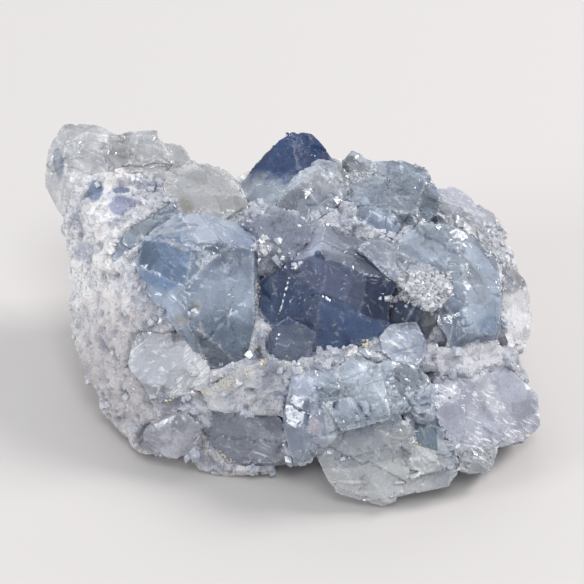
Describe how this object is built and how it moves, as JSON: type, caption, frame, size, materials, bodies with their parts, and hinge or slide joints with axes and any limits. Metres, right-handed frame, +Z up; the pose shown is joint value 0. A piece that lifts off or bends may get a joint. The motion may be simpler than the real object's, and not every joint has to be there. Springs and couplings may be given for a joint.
{
  "type": "celestite specimen",
  "caption": "Cluster of blocky pale and deep blue crystals intergrown on a rough white matrix, cut flat to rest on a shelf.",
  "frame": {"origin": "on the flat cut base of the matrix, below the middle of the growth face", "axes": "+X to the right and +Y to the back as the growth face is looked at from the front, +Z up from the base"},
  "size_m": [0.1001, 0.073, 0.0474],
  "materials": {
    "blue_crystal": "clear to cloudy grey-blue crystal with glassy faces, veils and cleavage cracks",
    "deep_blue_crystal": "clear deep blue crystal with glassy faces",
    "pale_aqua_crystal": "pale watery blue crystal with stepped cleavage faces",
    "clear_grey_crystal": "nearly colourless greyish crystal with glassy faces",
    "frosted_crystal": "milky lilac-white crystal with a frosted, finely etched skin",
    "white_matrix": "rough granular sugary white to grey, with cream grains in its hollows"
  },
  "bodies": {
    "root": {"matrix": "white_matrix", "large_left_crystal": "blue_crystal", "central_blue_crystal": "deep_blue_crystal", "right_block_crystal": "blue_crystal", "rear_point_crystal": "deep_blue_crystal", "rear_right_crystals": "blue_crystal", "front_block_crystals": "pale_aqua_crystal", "upper_pale_crystals": "pale_aqua_crystal", "left_corner_crystals": "clear_grey_crystal", "pale_top_crystal": "clear_grey_crystal", "small_clear_crystals": "clear_grey_crystal", "lower_middle_crystal": "clear_grey_crystal", "left_glassy_crystal": "clear_grey_crystal", "sugared_crystal": "frosted_crystal", "right_rim_crystals": "frosted_crystal", "front_right_crystals": "frosted_crystal", "lower_left_crystal": "frosted_crystal"}
  },
  "joints": []
}
